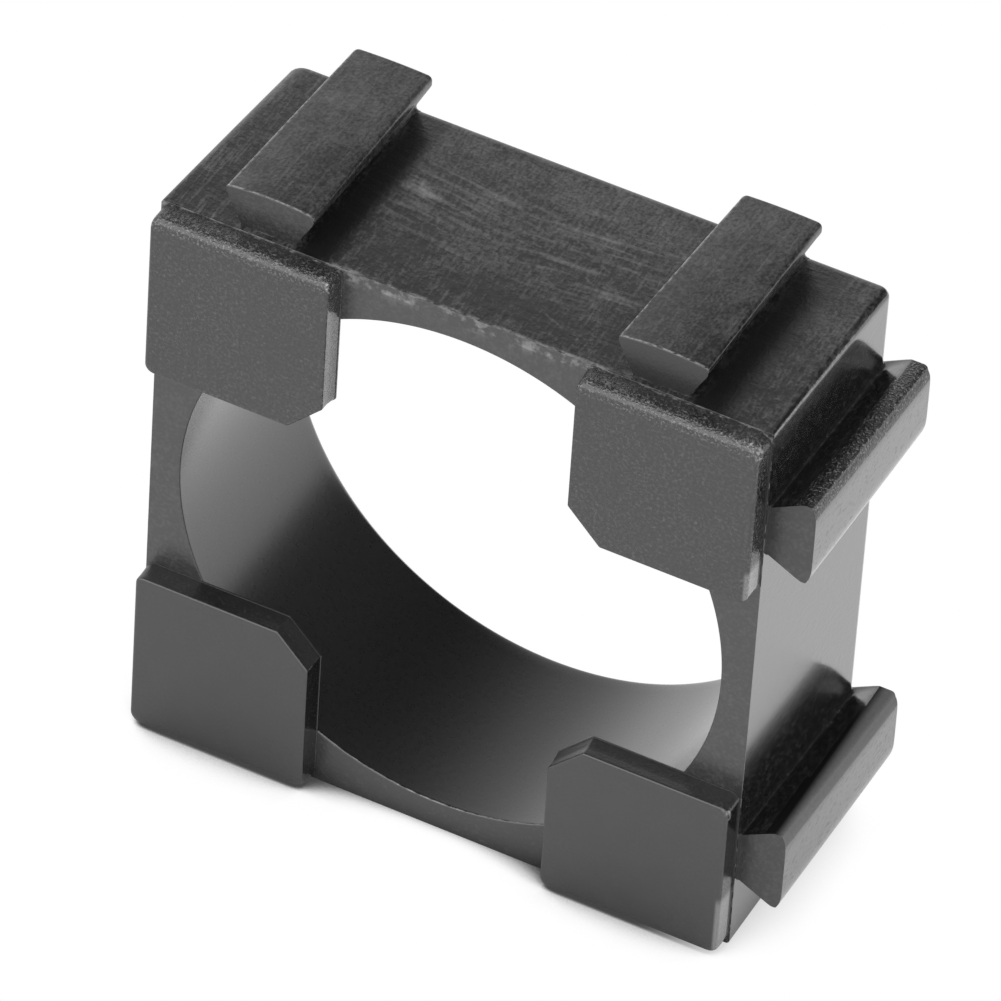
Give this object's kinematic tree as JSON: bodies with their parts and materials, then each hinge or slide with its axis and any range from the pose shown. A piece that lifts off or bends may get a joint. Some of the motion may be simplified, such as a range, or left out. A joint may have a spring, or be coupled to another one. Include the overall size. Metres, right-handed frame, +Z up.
{
  "type": "battery cell holder bracket",
  "caption": "Square moulded plastic holder for a round cell: through bore, corner stops with a cross channel between them, and dovetail rails and grooves on its sides.",
  "frame": {"origin": "centre of the bottom face that the holder stands on, under the bore's axis and at half the body's depth", "axes": "+Z up, +Y from the tabs at the front to the open back along the bore's axis, +X towards the side rails"},
  "size_m": [0.0219, 0.0088, 0.0219],
  "materials": {
    "plastic": "fine matt black, as moulded"
  },
  "bodies": {
    "root": {"cell_holder": "plastic"}
  },
  "joints": []
}
